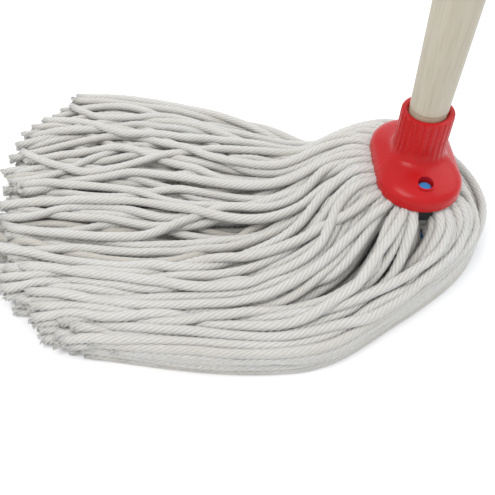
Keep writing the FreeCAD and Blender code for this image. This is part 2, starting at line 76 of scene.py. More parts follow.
def make_studio():
    area_light("key_light", (-0.9, -0.5, 1.9), (-0.1, 0.0, 0.0), 1.0, 17.0, (1.0, 0.98, 0.95))
    area_light("fill_light", (1.2, 0.6, 1.5), (-0.1, 0.0, 0.0), 1.4, 8.0, (0.95, 0.98, 1.0))
    world = bpy.data.worlds.new("studio")
    world.use_nodes = True
    world.node_tree.nodes["Background"].inputs["Color"].default_value = (0.95, 0.97, 1.0, 1.0)
    world.node_tree.nodes["Background"].inputs["Strength"].default_value = 1.0
    bpy.context.scene.world = world
    bpy.context.scene.view_settings.view_transform = "Standard"
    bpy.ops.object.select_all(action="DESELECT")
    bpy.ops.mesh.primitive_plane_add(size=8.0, location=(0.0, 0.0, 0.0))
    floor = bpy.context.object
    floor.name = "floor"
    material, shader = new_material("floor_paper")[:2]
    shader.inputs["Base Color"].default_value = (0.93, 0.93, 0.93, 1.0)
    shader.inputs["Roughness"].default_value = 0.9
    floor.data.materials.append(material)


# ---------------------------------------------------------------- materials
SHOULDER_HEIGHT = 102.0 * MM                  # the pole's turned shoulder, where the wood is tinted warmer below and a dark line of painted shade marks the step
SHOULDER_BLEND = 5 * MM                       # heights above and below it that the change is drawn over


def new_material(name):
    """A material with one Principled shader; returns it with the shader, the nodes and the links."""
    material = bpy.data.materials.new(name)
    material.use_nodes = True
    nodes, links = material.node_tree.nodes, material.node_tree.links
    return material, nodes["Principled BSDF"], nodes, links


def add_node(nodes, kind, **settings):
    """A node with its sockets and properties set by name."""
    node = nodes.new(kind)
    for key, value in settings.items():
        if key in node.inputs:
            node.inputs[key].default_value = value
        else:
            setattr(node, key, value)
    return node


def ramp(nodes, links, source, stops):
    """A colour ramp on a socket; stops are (place, colour)."""
    node = nodes.new("ShaderNodeValToRGB")
    band = node.color_ramp
    band.elements[0].position, band.elements[0].color = stops[0][0], (*stops[0][1], 1.0)
    band.elements[1].position, band.elements[1].color = stops[-1][0], (*stops[-1][1], 1.0)
    for place, colour in stops[1:-1]:
        band.elements.new(place).color = (*colour, 1.0)
    links.new(source, node.inputs["Fac"])
    return node.outputs["Color"]


def mixed(nodes, links, factor, first, second, mode="MIX"):
    """Two colours mixed by a socket or a number; each colour is a socket or a triple."""
    node = nodes.new("ShaderNodeMix")
    node.data_type, node.blend_type = "RGBA", mode
    for socket, value in ((node.inputs[0], factor), (node.inputs[6], first), (node.inputs[7], second)):
        if isinstance(value, bpy.types.NodeSocket):
            links.new(value, socket)
        elif isinstance(value, (int, float)):
            socket.default_value = value
        else:
            socket.default_value = (*value, 1.0)
    return node.outputs[2]


def bump(nodes, links, shader, height, strength, distance, base=None):
    """Bump from a height socket, onto the shader or on top of another bump's output."""
    node = nodes.new("ShaderNodeBump")
    node.inputs["Strength"].default_value = strength
    node.inputs["Distance"].default_value = distance
    links.new(height, node.inputs["Height"])
    if base is not None:
        links.new(base, node.inputs["Normal"])
    if shader is not None:
        links.new(node.outputs["Normal"], shader.inputs["Normal"])
    return node.outputs["Normal"]


def cotton_material():
    """Off-white twisted cotton: fibres along the plies, painted shade in the grooves between plies, and a
    tone for each strand that is also lowered as painted shade for strands lying lower.
    """
    material, shader, nodes, links = new_material("cotton_yarn")
    tone = add_node(nodes, "ShaderNodeAttribute", attribute_name="tone").outputs["Fac"]
    groove = add_node(nodes, "ShaderNodeAttribute", attribute_name="groove").outputs["Fac"]
    uv = add_node(nodes, "ShaderNodeUVMap", uv_map="along").outputs["UV"]
    stretch = add_node(nodes, "ShaderNodeMapping", Scale=(0.16, 1.0, 1.0))
    links.new(uv, stretch.inputs["Vector"])
    fibres = add_node(nodes, "ShaderNodeTexNoise", Scale=2600.0, Detail=4.0, Roughness=0.65)
    links.new(stretch.outputs["Vector"], fibres.inputs["Vector"])
    place = nodes.new("ShaderNodeTexCoord").outputs["Object"]
    stain = add_node(nodes, "ShaderNodeTexNoise", Scale=26.0, Detail=3.0)
    links.new(place, stain.inputs["Vector"])
    fuzz = add_node(nodes, "ShaderNodeTexNoise", Scale=900.0, Detail=3.0, Roughness=0.7)
    links.new(place, fuzz.inputs["Vector"])
    # a strand's tone picks its colour, from a dim beige to off-white; low tones come from random spread and
    # from painted shade on lower layers
    own = ramp(nodes, links, tone, [(0.0, (0.64, 0.61, 0.56)), (0.25, (0.73, 0.72, 0.695)),
                                    (0.6, (0.775, 0.775, 0.76)), (1.0, (0.765, 0.77, 0.77))])
    patchy = ramp(nodes, links, stain.outputs["Fac"],
                  [(0.3, (0.95, 0.935, 0.91)), (0.65, (1.0, 1.0, 1.0))])
    colour = mixed(nodes, links, 1.0, own, patchy, "MULTIPLY")
    streak = ramp(nodes, links, fibres.outputs["Fac"],
                  [(0.3, (0.76, 0.75, 0.73)), (0.62, (1.0, 1.0, 1.0))])
    colour = mixed(nodes, links, 0.8, colour, streak, "MULTIPLY")
    # painted shade: the plies' grooves are mixed towards a dim beige, standing in for the shade that falls
    # into them
    painted_groove_shade = mixed(nodes, links, 0.65, colour, (0.47, 0.44, 0.38))
    colour = mixed(nodes, links, groove, colour, painted_groove_shade)
    links.new(colour, shader.inputs["Base Color"])
    shader.inputs["Roughness"].default_value = 0.95
    shader.inputs["Specular IOR Level"].default_value = 0.15
    shader.inputs["Subsurface Weight"].default_value = 0.2
    shader.inputs["Subsurface Radius"].default_value = (1.0, 0.9, 0.8)
    shader.inputs["Subsurface Scale"].default_value = 0.004
    shader.inputs["Sheen Weight"].default_value = 0.25
    shader.inputs["Sheen Roughness"].default_value = 0.6
    under = bump(nodes, links, None, fuzz.outputs["Fac"], 0.5, 0.0008)
    bump(nodes, links, shader, fibres.outputs["Fac"], 0.8, 0.0006, under)
    return material


def plastic_material(name, colour, shade, roughness):
    """Glossy moulded plastic with faint flow marks, moulding texture and scuffs."""
    material, shader, nodes, links = new_material(name)
    place = nodes.new("ShaderNodeTexCoord").outputs["Object"]
    flow = add_node(nodes, "ShaderNodeTexNoise", Scale=38.0, Detail=3.0, Distortion=0.8)
    grain = add_node(nodes, "ShaderNodeTexNoise", Scale=700.0, Detail=3.0)
    for node in (flow, grain):
        links.new(place, node.inputs["Vector"])
    tint = ramp(nodes, links, flow.outputs["Fac"], [(0.3, shade), (0.7, colour)])
    links.new(tint, shader.inputs["Base Color"])
    dull = ramp(nodes, links, flow.outputs["Fac"],
                [(0.35, (roughness,) * 3), (0.75, (roughness * 1.5,) * 3)])
    links.new(dull, shader.inputs["Roughness"])
    shader.inputs["Specular IOR Level"].default_value = 0.22
    shader.inputs["Subsurface Weight"].default_value = 0.06
    shader.inputs["Subsurface Scale"].default_value = 0.003
    under = bump(nodes, links, None, grain.outputs["Fac"], 0.12, 0.0001)
    bump(nodes, links, shader, flow.outputs["Fac"], 0.06, 0.0006, under)
    return material


def wood_material():
    """Pale sanded wood: long soft grain, pores and a few darker lines, one of them a line of painted shade
    at the turned shoulder.
    """
    material, shader, nodes, links = new_material("wood_pole")
    place = nodes.new("ShaderNodeTexCoord").outputs["Object"]
    long = add_node(nodes, "ShaderNodeMapping", Scale=(1.0, 1.0, 0.045))
    links.new(place, long.inputs["Vector"])
    grain = add_node(nodes, "ShaderNodeTexNoise", Scale=150.0, Detail=5.0, Roughness=0.6, Distortion=0.6)
    pores = add_node(nodes, "ShaderNodeTexNoise", Scale=1100.0, Detail=2.0)
    for node in (grain, pores):
        links.new(long.outputs["Vector"], node.inputs["Vector"])
    colour = ramp(nodes, links, grain.outputs["Fac"], [
        (0.25, (0.43, 0.385, 0.30)), (0.5, (0.475, 0.435, 0.35)), (0.75, (0.505, 0.47, 0.385))])
    dark = ramp(nodes, links, pores.outputs["Fac"], [(0.3, (0.84, 0.80, 0.74)), (0.48, (1.0, 1.0, 1.0))])
    colour = mixed(nodes, links, 0.5, colour, dark, "MULTIPLY")
    height = nodes.new("ShaderNodeSeparateXYZ")
    links.new(place, height.inputs["Vector"])
    near = add_node(nodes, "ShaderNodeMapRange")
    near.inputs["From Min"].default_value = SHOULDER_HEIGHT - SHOULDER_BLEND
    near.inputs["From Max"].default_value = SHOULDER_HEIGHT + SHOULDER_BLEND
    links.new(height.outputs["Z"], near.inputs["Value"])
    # below the shoulder the wood is tinted warmer; at the shoulder a dark line is painted shade where the
    # turned step is
    ring = ramp(nodes, links, near.outputs["Result"], [
        (0.0, (1.0, 0.96, 0.88)), (0.47, (1.0, 0.95, 0.86)), (0.50, (0.66, 0.60, 0.50)),
        (0.55, (0.72, 0.67, 0.58)), (0.60, (1.0, 1.0, 1.0))])
    links.new(mixed(nodes, links, 1.0, colour, ring, "MULTIPLY"), shader.inputs["Base Color"])
    shader.inputs["Roughness"].default_value = 0.55
    shader.inputs["Specular IOR Level"].default_value = 0.3
    under = bump(nodes, links, None, grain.outputs["Fac"], 0.15, 0.0004)
    bump(nodes, links, shader, pores.outputs["Fac"], 0.25, 0.0002, under)
    return material


def shadow_tape_material():
    """Black woven band; its near-black colour is painted shadow for the deep gap under the socket's rim."""
    material, shader, nodes, links = new_material("black_tape")
    place = nodes.new("ShaderNodeTexCoord").outputs["Object"]
    weave = add_node(nodes, "ShaderNodeTexWave", Scale=420.0, Distortion=1.5, bands_direction="DIAGONAL")
    links.new(place, weave.inputs["Vector"])
    # near-black threads: painted shadow where the strands part under the rim
    threads = ramp(nodes, links, weave.outputs["Fac"],
                   [(0.2, (0.006, 0.006, 0.007)), (0.8, (0.035, 0.035, 0.04))])
    links.new(threads, shader.inputs["Base Color"])
    shader.inputs["Roughness"].default_value = 0.8
    bump(nodes, links, shader, weave.outputs["Fac"], 0.6, 0.0003)
    return material


# ---------------------------------------------------------------- socket
# Rings of the socket as (height above the rim, arc radius, half of the straight run along Y), millimetres:
# up the outside and down the bore, and from the rim up the inside to the underside of the bore's floor.
OUTSIDE = [
    (0.0, 24.7, 15.0), (0.35, 25.25, 15.0), (1.0, 25.5, 15.0), (3.0, 25.45, 15.0), (5.0, 25.35, 15.0),
    (7.0, 25.05, 14.95), (8.6, 24.2, 14.6), (9.9, 23.0, 13.8), (11.0, 21.7, 12.3), (12.0, 20.4, 10.2),
    (12.9, 19.2, 7.8), (13.7, 18.2, 5.4), (14.5, 17.4, 3.4), (15.5, 16.7, 1.7), (16.8, 16.15, 0.6),
    (18.8, 15.75, 0.1), (22.5, 15.55, 0.0), (27.0, 15.5, 0.0), (33.0, 15.5, 0.0), (38.0, 15.5, 0.0),
    (42.0, 15.5, 0.0), (43.2, 15.4, 0.0), (43.8, 15.1, 0.0), (44.0, 14.7, 0.0), (44.0, 12.6, 0.0),
    (43.7, 12.2, 0.0), (42.8, 11.2, 0.0), (42.4, 11.0, 0.0), (30.0, 11.0, 0.0), (16.0, 11.0, 0.0),
    (6.4, 11.0, 0.0), (6.0, 10.6, 0.0), (6.0, 6.0, 0.0), (6.0, 2.0, 0.0),
]
INSIDE = [
    (0.25, 23.3, 15.0), (1.2, 23.1, 15.0), (5.2, 23.0, 14.9), (6.8, 22.0, 14.0), (8.4, 20.4, 11.9),
    (9.9, 18.9, 9.2), (11.3, 17.4, 6.2), (12.6, 16.0, 3.2), (13.6, 14.7, 1.0), (13.9, 13.9, 0.0),
    (13.2, 13.4, 0.0), (8.0, 13.4, 0.0), (3.9, 13.4, 0.0), (3.6, 13.1, 0.0), (3.6, 8.0, 0.0),
    (3.6, 2.5, 0.0),
]
SAME_LEVEL = 0.05                             # corners nearer in height than this are of one ring
AROUND = 192                                  # corners of a ring
RIBS, RIB_DEPTH = 24, 0.55
RIB_FOOT, RIB_FULL, RIB_TOP = 15.5, 23.0, 43.5   # heights where the ribs fade in, are full and end
RIB_FLUTES = (((5, 6), 1.0), ((4, 7), 0.55))  # a rib's corners that sink, by what share of its depth
BORE_SIDE = 13                                # smaller radii at a rib's height are the bore's
PEG_SPACING, PEG_DIAMETER = 56 * MM, 7.6 * MM
# Radius, foot and top above the rim of what is added or cut round each peg.
BOSS, PEG_HOLE, PEG_RECESS = (5.8, 3.6, 12.0), (3.86, 0.0, 20.0), (4.5, 8.5, 20.0)
SMOOTH_ANGLE = math.radians(32)


def select_vertices(mesh, test):
    """Selects, in edit mode, the vertices whose place in millimetres passes the test."""
    shape = bmesh.from_edit_mesh(mesh)
    for vertex in shape.verts:
        vertex.select = bool(test(*(vertex.co / MM)))
    shape.select_flush(True)
    shape.select_flush(False)
    bmesh.update_edit_mesh(mesh)


def flute_test(z, corners):
    """Whether a place on the collar's outside at height z is one of these corners of its rib."""
    def test(x, y, height):
        corner = int((math.atan2(y, x) % math.tau) / math.tau * AROUND) % (AROUND // RIBS)
        return abs(height - z) < SAME_LEVEL and math.hypot(x, y) > BORE_SIDE and corner in corners
    return test


def grow_ring(mesh, rings):
    """Extrudes the selected ring through the rings after the first: arc halves and straight run apart."""
    for (z0, r0, h0), (z1, r1, h1) in zip(rings, rings[1:]):
        bpy.ops.mesh.extrude_edges_move(TRANSFORM_OT_translate={"value": (0, 0, (z1 - z0) * MM)})
        ring = [v.index for v in bmesh.from_edit_mesh(mesh).verts if v.select]
        for side in (-1, 1):
            shape = bmesh.from_edit_mesh(mesh)
            shape.verts.ensure_lookup_table()
            for index in ring:
                shape.verts[index].select = side * shape.verts[index].co.y > 0
            shape.select_flush(False)
            centre = (0, side * h0 * MM, z1 * MM)
            bpy.ops.transform.resize(value=(r1 / r0, r1 / r0, 1), center_override=centre)
            bpy.ops.transform.translate(value=(0, side * (h1 - h0) * MM, 0))
        shape = bmesh.from_edit_mesh(mesh)
        shape.verts.ensure_lookup_table()
        for index in ring:
            shape.verts[index].select = True
        shape.select_flush(True)


def combine(piece, tool, operation):
    """Applies a boolean with another object, which is then removed."""
    modifier = piece.modifiers.new("combine", "BOOLEAN")
    modifier.object, modifier.operation, modifier.solver = tool, operation, "EXACT"
    bpy.context.view_layer.objects.active = piece
    bpy.ops.object.modifier_apply(modifier=modifier.name)
    bpy.data.objects.remove(tool)


def upright_cylinder(radius, low, high, y):
    """A cylinder of that radius between two heights at (0, y), all in millimetres."""
    bpy.ops.mesh.primitive_cylinder_add(vertices=64, radius=radius * MM, depth=(high - low) * MM,
                                        location=(0, y * MM, (low + high) / 2 * MM))
    bpy.ops.object.transform_apply(location=True)
    return bpy.context.object


def make_socket(material):
    """The red moulding: oblong skirt, domed deck, ribbed collar with the bore, and the peg holes."""
    bpy.ops.object.select_all(action="DESELECT")
    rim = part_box("socket_shell")[0][2] / MM
    outside = [(rim + z, r, h) for z, r, h in OUTSIDE]
    inside = [(rim + z, r, h) for z, r, h in INSIDE]
    z0, r0, h0 = outside[0]
    bpy.ops.mesh.primitive_circle_add(vertices=AROUND, radius=r0 * MM, location=(0, 0, z0 * MM),
                                      rotation=(0, 0, math.pi / AROUND))
    piece = bpy.context.object
    bpy.ops.object.transform_apply(location=True, rotation=True)
    bpy.ops.object.mode_set(mode="EDIT")
    bpy.ops.mesh.select_mode(type="VERT")
    for side in (-1, 1):
        select_vertices(piece.data, lambda x, y, z: side * y > 0)
        bpy.ops.transform.translate(value=(0, side * h0 * MM, 0))
    for rings in (outside, [outside[0]] + inside):
        select_vertices(piece.data, lambda x, y, z: abs(z - z0) < SAME_LEVEL)
        grow_ring(piece.data, rings)
        bpy.ops.mesh.edge_face_add()
    for z, radius, _ in outside:
        share = min(max((z - rim - RIB_FOOT) / (RIB_FULL - RIB_FOOT), 0.0), 1.0)
        if share == 0 or z - rim > RIB_TOP or radius < BORE_SIDE:
            continue
        for corners, depth in RIB_FLUTES:
            select_vertices(piece.data, flute_test(z, corners))
            shrink = 1 - RIB_DEPTH * depth * share / radius
            bpy.ops.transform.resize(value=(shrink, shrink, 1), center_override=(0, 0, z * MM))
    bpy.ops.mesh.select_all(action="SELECT")
    bpy.ops.mesh.normals_make_consistent(inside=False)
    bpy.ops.object.mode_set(mode="OBJECT")
    for side in (-1, 1):
        y = side * PEG_SPACING / 2 / MM
        for (radius, foot, top), operation in ((BOSS, "UNION"), (PEG_HOLE, "DIFFERENCE"),
                                               (PEG_RECESS, "DIFFERENCE")):
            combine(piece, upright_cylinder(radius, rim + foot, rim + top, y), operation)
    piece.name = piece.data.name = "red_socket"
    bpy.ops.object.select_all(action="DESELECT")
    piece.select_set(True)
    bpy.context.view_layer.objects.active = piece
    bpy.ops.object.shade_smooth_by_angle(angle=SMOOTH_ANGLE)
    piece.select_set(False)
    finish_piece(piece, material, "head")
    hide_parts("socket_shell")


# ---------------------------------------------------------------- yarn: the strands' routes
# The seams between locks, as in the design: (x, y, underside, top) in millimetres, from just outside
# the rim to the cut ends.
SEAMS = [
    [(10, 54, 24, 50), (-4, 61, 9, 42), (-28, 66, 4, 33), (-55, 60, 0, 24), (-92, 92, 0, 19),
     (-138, 114, 0, 17), (-180, 127, 0, 15), (-214, 134, 0, 14), (-253, 142, 0, 12)],
    [(-11, 51, 24, 50), (-28, 53, 9, 42), (-45, 51, 4, 33), (-64, 46, 0, 24), (-101, 70, 0, 20),
     (-148, 89, 0, 18), (-193, 102, 0, 16), (-235, 105, 0, 15), (-277, 98, 0, 13)],
    [(-29, 36, 24, 52), (-45, 36, 9, 47), (-60, 31, 4, 41), (-74, 23, 0, 35), (-110, 31, 0, 27),
     (-154, 46, 0, 22), (-198, 54, 0, 19), (-238, 56, 0, 17), (-286, 55, 0, 14)],
    [(-36, 22, 24, 52), (-51, 20, 9, 47), (-65, 13, 4, 41), (-78, 3, 0, 35), (-107, -3, 0, 28),
     (-144, 4, 0, 24), (-186, 12, 0, 20), (-230, 16, 0, 17), (-284, 16, 0, 14)],
    [(-36, 6, 24, 52), (-50, 3, 9, 47), (-62, -6, 4, 41), (-74, -18, 0, 35), (-99, -29, 0, 29),
     (-133, -30, 0, 25), (-175, -25, 0, 21), (-220, -20, 0, 18), (-276, -20, 0, 14)],
    [(-36, -10, 24, 52), (-47, -16, 9, 47), (-58, -27, 4, 41), (-69, -40, 0, 35), (-93, -51, 0, 30),
     (-128, -55, 0, 26), (-168, -53, 0, 22), (-213, -49, 0, 18), (-270, -42, 0, 14)],
    [(-31, -27, 24, 51), (-41, -36, 9, 46), (-51, -46, 4, 40), (-62, -56, 0, 34), (-87, -67, 0, 29),
     (-121, -71, 0, 25), (-159, -69, 0, 21), (-203, -65, 0, 18), (-262, -57, 0, 14)],
    [(-18, -42, 24, 51), (-28, -51, 9, 46), (-39, -60, 4, 40), (-51, -69, 0, 33), (-78, -79, 0, 27),
     (-111, -83, 0, 23), (-149, -80, 0, 19), (-193, -76, 0, 17), (-254, -67, 0, 13)],
    [(1, -47, 24, 50), (-9, -57, 9, 44), (-22, -66, 4, 38), (-36, -76, 0, 31), (-66, -87, 0, 24),
     (-100, -92, 0, 20), (-138, -89, 0, 17), (-182, -85, 0, 15), (-244, -77, 0, 12)],
    [(20, -41, 22, 48), (11, -54, 8, 40), (-2, -65, 3, 33), (-18, -76, 0, 27), (-52, -92, 0, 21),
     (-87, -100, 0, 17), (-126, -98, 0, 15), (-170, -94, 0, 13), (-233, -86, 0, 11)],
    [(35, -23, 18, 42), (31, -41, 5, 32), (17, -55, 0, 26), (0, -68, 0, 21), (-35, -90, 0, 16),
     (-72, -106, 0, 14), (-112, -107, 0, 12), (-158, -104, 0, 11), (-220, -95, 0, 10)],
    [(44, 20, 14, 40), (54, -8, 4, 30), (38, -40, 0, 22), (14, -62, 0, 17), (-20, -86, 0, 13),
     (-58, -111, 0, 12), (-98, -116, 0, 11), (-146, -113, 0, 10), (-206, -103, 0, 9)],
]
FIRST_EXIT = math.radians(70)                 # where the first seam leaves the core
# Shares of the way round the core, where the seams leave it.
EXIT_SHARES = [0, 0.074, 0.15, 0.21, 0.27, 0.335, 0.405, 0.475, 0.545, 0.618, 0.7, 0.88]
LAST_STRAND_EXIT = 0.97                       # the last strands leave further round than their lock
ROOT_DEPTH, ROOT_RUN = 4, 3                   # millimetres inside and outside the core's wall
MOUTH_STATION, HALFWAY_STATION = 2, 7         # a seam's places outside the rim and halfway to the ends
STRAND_DIAMETER = 5.8 * MM
LAYER_HEIGHTS = (0.06, 0.42, 0.74, 0.98)      # shares of the yarn's depth, bottom layer first
LAYER_STRANDS = (22, 30, 40, 44)
LAYER_LEAN = (0.0, 0.4, 1.2, 1.9)             # seams that a front strand crosses on its way, by layer
LEAN_SEAM = 4                                 # the strands past this seam are the front ones
EDGE_STRANDS = 0.45                           # how far from the front seam the strands keep by it
TURNING_STRANDS, END_TURN = 1.4, 0.7          # how far the next ones turn in from it at their ends
FULL_TURN = 6.28                              # range of a random phase
PLACE_JITTER = 0.35                           # of the distance between a layer's strands
CROSSING_SHARE, CROSSING_LIFT = 0.2, 0.25     # strands that cross far over, and how they rise on top
CROSSING_DRIFT, DRIFT = 0.9, 0.36             # spread of a strand's drift by its cut end, in seams
WAVE, RIPPLE = (0.24, 0.7, 1.4), (0.09, 2.0, 3.2)   # spread in seams, slowest and fastest pace
LIFT_SPREAD, LIFT_WAVE, LIFT_PACE = 0.1, 0.08, 1.9  # of the yarn's depth
SHORTEST_CUT = 0.925                          # the strands are cut between this share and the whole way
TAPE_SEAM, TAPE_ROOM = 8.0, 0.6               # the strands part round the tape's end at this seam
TAPE_LAYER = 2                                # the lowest layer that parts there
STRAY_LIFT, SOFTENING = 0.3, 19               # the strays' height over the rest; how far corners soften
# Strands that stray over the others: (along, across) places, from the core to the cut end.
STRAYS = [
    [(0, 1.0), (4, 1.1), (6, 1.4), (7.6, 2.1), (8.6, 2.7), (9.3, 2.2), (10, 1.5)],
    [(0, 0.6), (4, 0.7), (6, 1.2), (8, 1.6), (10, 0.8)],
    [(0, 3.4), (4, 3.2), (6, 2.6), (8, 2.4), (10, 3.0)],
    [(0, 4.5), (4, 4.4), (6, 4.9), (8, 5.3), (9, 5.0), (10, 4.3)],
    [(0, 5.2), (3, 5.3), (5, 6.0), (7, 6.3), (9, 5.7), (10, 5.6)],
    [(0, 6.6), (4, 6.3), (6, 6.5), (8, 7.4), (10, 7.2)],
    [(0, 7.3), (3, 7.2), (5, 7.9), (7, 8.6), (9, 8.2), (10, 7.7)],
    [(0, 8.8), (4, 8.9), (6, 8.3), (8, 8.0), (10, 8.8)],
    [(0, 9.7), (4, 9.5), (6, 9.8), (8, 9.2), (10, 9.0)],
    [(0, 10.5), (3, 10.2), (5, 9.6), (7, 9.9), (10, 10.4)],
    [(0, 2.4), (4, 2.4), (6, 2.0), (8, 1.4), (10, 2.0)],
    [(0, 6.0), (3, 5.8), (5, 5.2), (7, 5.0), (9, 5.6), (10, 6.1)],
]
BEADS = 61                                    # points that a strand is settled by
BEADS_PER_POINT = 3                           # every third is a point of its spline
SETTLING_STEPS = 90
HOME_PULL, PUSH_SHARE, SMOOTHING = 0.05, 0.55, 0.22   # of the way, at each settling step
FENCE_TOP, FENCE_REACH = 40 * MM, 20 * MM     # beads lower than this are led back, from up to this far
# The parting at the tape: its half width by how far it is in front of the pole's axis, the lowest
# beads that it moves, and the share of their way at each step.
PARTING_FRONT = [34 * MM, 36 * MM, 41 * MM, 47 * MM, 49 * MM]
PARTING_HALF = [0, 5.6 * MM, 4.4 * MM, 2.2 * MM, 0]
PARTING_FLOOR, PARTING_SHARE = 38 * MM, 0.6
PLATE_THICKNESS, CLEAR_SHARE = 3 * MM, 0.3


def catmull_rom(a, b, c, d, f):
    """The smooth curve between b and c, at the fraction f."""
    return b + 0.5 * f * (c - a + f * (2 * a - 5 * b + 4 * c - d + f * (3 * (b - c) + d - a)))


def core_exit(share):
    """Points on the squeezed core's outline and their outward directions, at shares of the way round."""
    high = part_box("yarn_core")[1]
    radius = high[0]
    reach = high[1] - radius
    arc, side = math.pi * radius, 2 * reach
    distance = (FIRST_EXIT * radius + share * 2 * (arc + side)) % (2 * (arc + side))
    at_back, at_left = distance < arc, (distance >= arc) & (distance < arc + side)
    at_right = distance >= 2 * arc + side
    turn = np.where(at_back, distance / radius, math.pi + (distance - arc - side) / radius)
    turn = np.where(at_left, math.pi, np.where(at_right, 0.0, turn))
    out = np.stack([np.cos(turn), np.sin(turn)], axis=-1)
    centre = np.where(at_back, reach, -reach)
    centre = np.where(at_left, reach - (distance - arc), centre)
    centre = np.where(at_right, distance - 2 * arc - side - reach, centre)
    return out * radius + np.stack([centre * 0, centre], axis=-1), out


def seam_table():
    """Every seam's stations in metres, each led by two at the core's wall."""
    low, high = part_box("yarn_core")
    wall, out = core_exit(np.array(EXIT_SHARES[:-1] + [LAST_STRAND_EXIT]))
    rows = np.array(SEAMS, dtype=float) * MM
    level = np.tile([low[2], high[2]], (len(rows), 1))
    inside = np.hstack([wall - out * ROOT_DEPTH * MM, level])[:, None]
    mouth = np.hstack([wall + out * ROOT_RUN * MM, level])[:, None]
    return np.concatenate([inside, mouth, rows], axis=1)


def on_seams(table, across, along):
    """(x, y, underside, top) at a place across the seams and along them."""
    last_across, last_along = table.shape[0] - 1, table.shape[1] - 1
    i = np.clip(np.floor(across).astype(int), 0, last_across - 1)
    j = np.clip(np.floor(along).astype(int), 0, last_along - 1)
    f, g = (across - i)[:, None], (along - j)[:, None]
    rows = []
    for dj in (-1, 0, 1, 2):
        column = np.clip(j + dj, 0, last_along)
        near = (table[np.clip(i + di, 0, last_across), column] for di in (-1, 0, 1, 2))
        rows.append(catmull_rom(*near, f))
    return catmull_rom(*rows, g)


def spaced(points, count, length=None):
    """The same line as count evenly spaced points, cut to length if that is given."""
    steps = np.linalg.norm(np.diff(points, axis=0), axis=1)
    run = np.concatenate([[0.0], np.cumsum(steps)])
    places = np.linspace(0.0, min(run[-1], length or run[-1]), count)
    return np.stack([np.interp(places, run, points[:, k]) for k in range(3)], axis=1)


def crowding(table):
    """Share of the strands up to each seam: the wider the way between two seams, the more they hold."""
    way = table[:, HALFWAY_STATION + 1, :2] - table[:, HALFWAY_STATION - 1, :2]
    way = way[:-1] + way[1:]
    gap = np.diff(table[:, HALFWAY_STATION, :2], axis=0)
    width = np.abs(way[:, 0] * gap[:, 1] - way[:, 1] * gap[:, 0]) / np.linalg.norm(way, axis=1)
    mouth = np.linalg.norm(np.diff(table[:, MOUTH_STATION, :2], axis=0), axis=1)
    share = width / width.mean() + mouth / mouth.mean()
    return np.concatenate([[0.0], np.cumsum(share)]) / share.sum()


def rise(along, start, way):
    """0 up to start along a strand, then straight up to 1 over the way after it."""
    return np.clip((along - start) / way, 0, 1)


def random_wave(rng, along, spread, slowest, fastest):
    """A sine along a strand, of random size, pace and phase."""
    size = rng.normal(0, spread)
    pace = rng.uniform(slowest, fastest)
    return size * np.sin(along * pace + rng.uniform(0, FULL_TURN))


def draft_strands(rng):
    """The strands' lines before they settle: (strands, beads, 3), their places across and their layers."""
    table = seam_table()
    seams = table.shape[0] - 1
    crowd = crowding(table)
    along = np.linspace(0.0, table.shape[1] - 1, 120)
    drafts = []
    radius = STRAND_DIAMETER / 2
    for layer, (height, count) in enumerate(zip(LAYER_HEIGHTS, LAYER_STRANDS)):
        for number in range(count):
            share = (number + 0.5 + rng.uniform(-PLACE_JITTER, PLACE_JITTER)) / count
            across = float(np.interp(share, crowd, np.arange(seams + 1)))
            free = rise(along, 2, 6)
            crossing = rng.random() < CROSSING_SHARE
            drift = rng.normal(0, CROSSING_DRIFT if crossing else DRIFT) * free ** 1.5
            wave = random_wave(rng, along, *WAVE) * free
            ripple = random_wave(rng, along, *RIPPLE) * free
            lift = height + free * rng.normal(0, LIFT_SPREAD)
            lift = lift + LIFT_WAVE * np.sin(along * LIFT_PACE + rng.uniform(0, FULL_TURN)) * free
            if crossing and layer == len(LAYER_HEIGHTS) - 1:
                lift = lift + CROSSING_LIFT * free
            place = across + drift + wave + ripple
            if across > seams - EDGE_STRANDS:
                place = np.maximum(place, across)
            elif across > seams - TURNING_STRANDS:
                place = place - END_TURN * rise(along, 8.3, 1.2)
            front = max(0.0, (across - LEAN_SEAM) / (seams - LEAN_SEAM))
            lean = LAYER_LEAN[layer] * math.sin(math.pi * front ** 1.5)
            place = place - lean * (1 - rise(along, 2.5, 5.5))
            drafts.append((across, layer, place, lift))
    window = np.hanning(SOFTENING)[1:-1] / np.hanning(SOFTENING).sum()
    for stray in STRAYS:
        places = np.interp(along, *np.transpose(stray))
        places = np.convolve(np.pad(places, len(window) // 2, "edge"), window, "valid")
        lift = 1.0 + STRAY_LIFT * rise(along, 2, 4)
        drafts.append((stray[0][1], len(LAYER_HEIGHTS) - 1, places, lift))
    lines = []
    for across, layer, place, lift in drafts:
        if layer >= TAPE_LAYER:
            off = place - TAPE_SEAM
            aside = np.where(off < 0, -1, 1) * np.maximum(TAPE_ROOM - np.abs(off), 0)
            place = place + aside * (1 - rise(along, 2.0, 1.2))
        at = on_seams(table, np.clip(place, 0.0, seams), along)
        low, high = at[:, 2] + radius, at[:, 3] - radius
        z = np.maximum(low + (high - low) * lift, radius)
        line = np.column_stack([at[:, 0], at[:, 1], z])
        whole = np.linalg.norm(np.diff(line, axis=0), axis=1).sum()
        lines.append(spaced(line, BEADS, whole * rng.uniform(SHORTEST_CUT, 1.0)))
    places = np.array([draft[0] for draft in drafts])
    layers = np.array([draft[1] for draft in drafts])
    return np.array(lines), places, layers


# A cell and half of those round it, so that every pair of cells is met once.
HALF_NEIGHBOURS = [(x, y, z) for x in (0, 1) for y in (-1, 0, 1) for z in (-1, 0, 1)
                   if (x, y, z) >= (0, 0, 0)]


